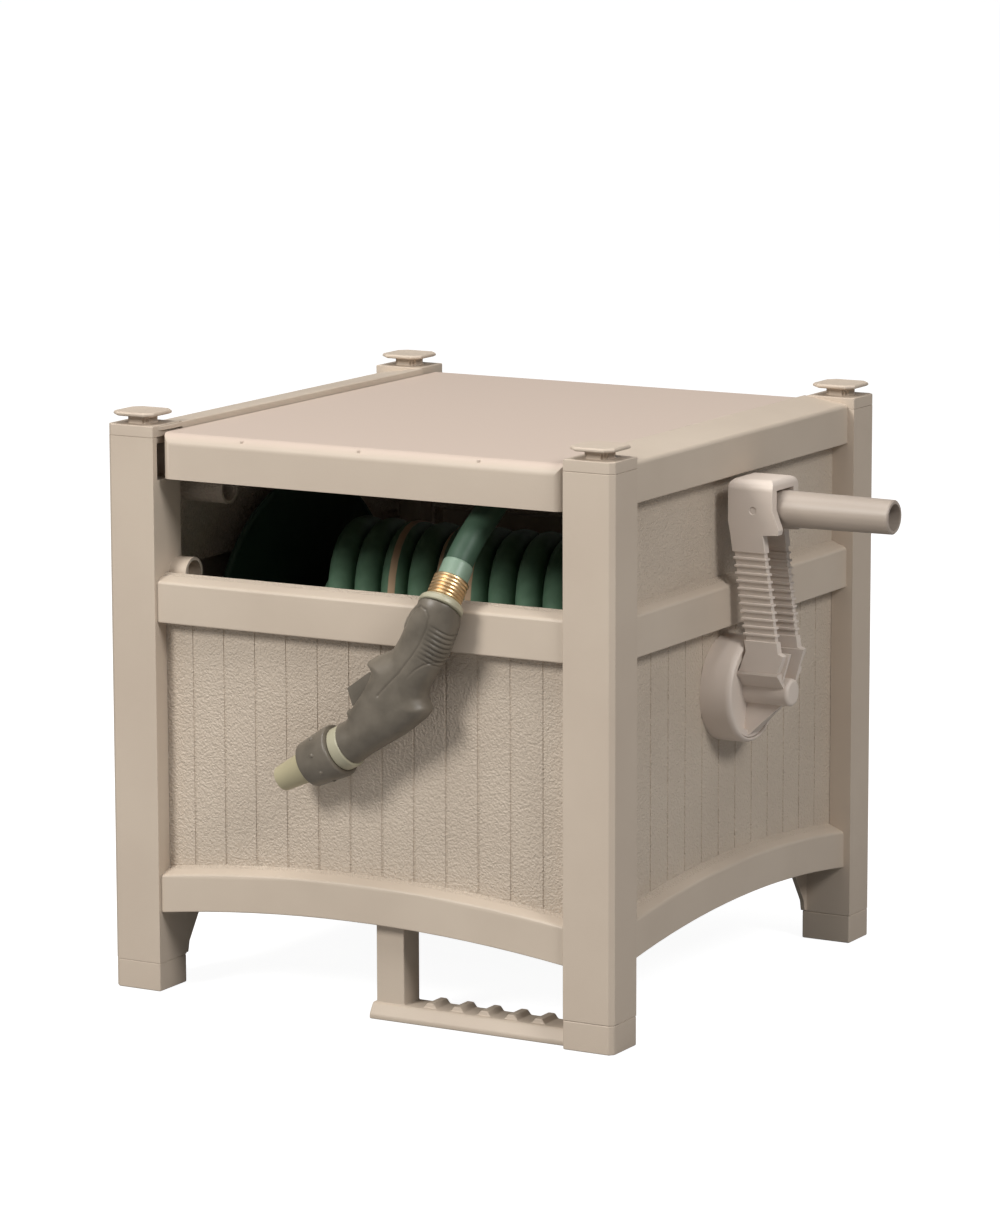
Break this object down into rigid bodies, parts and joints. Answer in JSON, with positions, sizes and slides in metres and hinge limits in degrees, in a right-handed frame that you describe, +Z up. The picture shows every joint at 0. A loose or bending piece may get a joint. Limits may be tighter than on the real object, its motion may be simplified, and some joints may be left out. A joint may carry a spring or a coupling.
{
  "type": "hose reel cabinet",
  "caption": "Square resin garden hose reel cabinet with corner posts, planked panels, lifting lid, side crank on a turning drum, wound hose, hand nozzle and foot step",
  "frame": {"origin": "Middle of the four feet, on the floor", "axes": "+Z up, front towards -Y, crank side +X"},
  "size_m": [0.6173, 0.505, 0.4855],
  "materials": {
    "resin": "moulded resin with a fine pebble texture",
    "resin_lid": "moulded resin, smoother and a little lighter",
    "resin_crank": "moulded resin, satin",
    "bearing_plastic": "plain bearing plastic",
    "drum_plastic": "dark green moulded plastic",
    "steel": "zinc plated",
    "brass": "satin brass",
    "seal_rubber": "black seal",
    "hose_rubber": "smooth green hose with a tan line",
    "band_plastic": "pale green band",
    "nozzle_rubber": "soft touch grey brown",
    "cream_plastic": "cream plastic"
  },
  "bodies": {
    "cabinet": {"post_front_left": "resin", "post_front_right": "resin", "post_rear_left": "resin", "post_rear_right": "resin", "cap_front_left": "resin", "cap_front_right": "resin", "cap_rear_left": "resin", "cap_rear_right": "resin", "foot_front_left": "resin", "foot_front_right": "resin", "foot_rear_left": "resin", "foot_rear_right": "resin", "front_panel": "resin", "rear_panel": "resin", "left_panel": "resin", "right_panel": "resin", "foot_step": "resin", "crank_cup": "resin_crank", "right_bearing": "bearing_plastic", "left_bearing": "bearing_plastic", "hinge_pin_left": "steel", "hinge_pin_right": "steel", "step_screws": "steel", "cup_screws": "steel", "trigger_pin": "steel", "nozzle_nose": "steel", "inlet_elbow": "brass", "hose_ferrule": "brass", "inlet_seal": "seal_rubber", "hose_lead": "hose_rubber", "hose_band": "band_plastic", "nozzle_body": "nozzle_rubber", "nozzle_ring": "cream_plastic", "nozzle_bezel": "cream_plastic"},
    "lid": {"lid": "resin_lid"},
    "drum": {"drum_core": "drum_plastic", "left_flange": "drum_plastic", "right_flange": "drum_plastic", "flange_screws": "steel", "wound_hose": "hose_rubber", "hose_bulk": "hose_rubber", "water_tube": "steel", "drive_shaft": "steel", "crank_hub": "resin_crank", "crank_arm": "resin_crank", "grip_pin": "steel"},
    "grip": {"crank_grip": "resin_crank"},
    "trigger": {"nozzle_trigger": "nozzle_rubber"},
    "collar": {"nozzle_collar": "nozzle_rubber", "nozzle_tip": "cream_plastic"}
  },
  "joints": [
    {"name": "lid_hinge", "type": "hinge", "parent": "cabinet", "child": "lid", "pos_m": [0, 0.21, 0.4475], "axis": [-1, 0, 0], "range_deg": [0, 100]},
    {"name": "drum_spin", "type": "hinge", "parent": "cabinet", "child": "drum", "pos_m": [0, -0.005, 0.257], "axis": [1, 0, 0], "continuous": true},
    {"name": "grip_fold", "type": "hinge", "parent": "drum", "child": "grip", "pos_m": [0.2518, -0.005, 0.408], "axis": [0, 1, 0], "range_deg": [0, 82]},
    {"name": "trigger_squeeze", "type": "hinge", "parent": "cabinet", "child": "trigger", "pos_m": [0.047, -0.249, 0.284], "axis": [0, -1, 0], "range_deg": [0, 6], "stiffness_Nm_per_rad": 0.3, "springref_deg": -5.73},
    {"name": "collar_twist", "type": "hinge", "parent": "cabinet", "child": "collar", "pos_m": [-0.004, -0.249, 0.226], "axis": [-0.8829, 0, -0.4695], "range_deg": [-180, 180]}
  ]
}
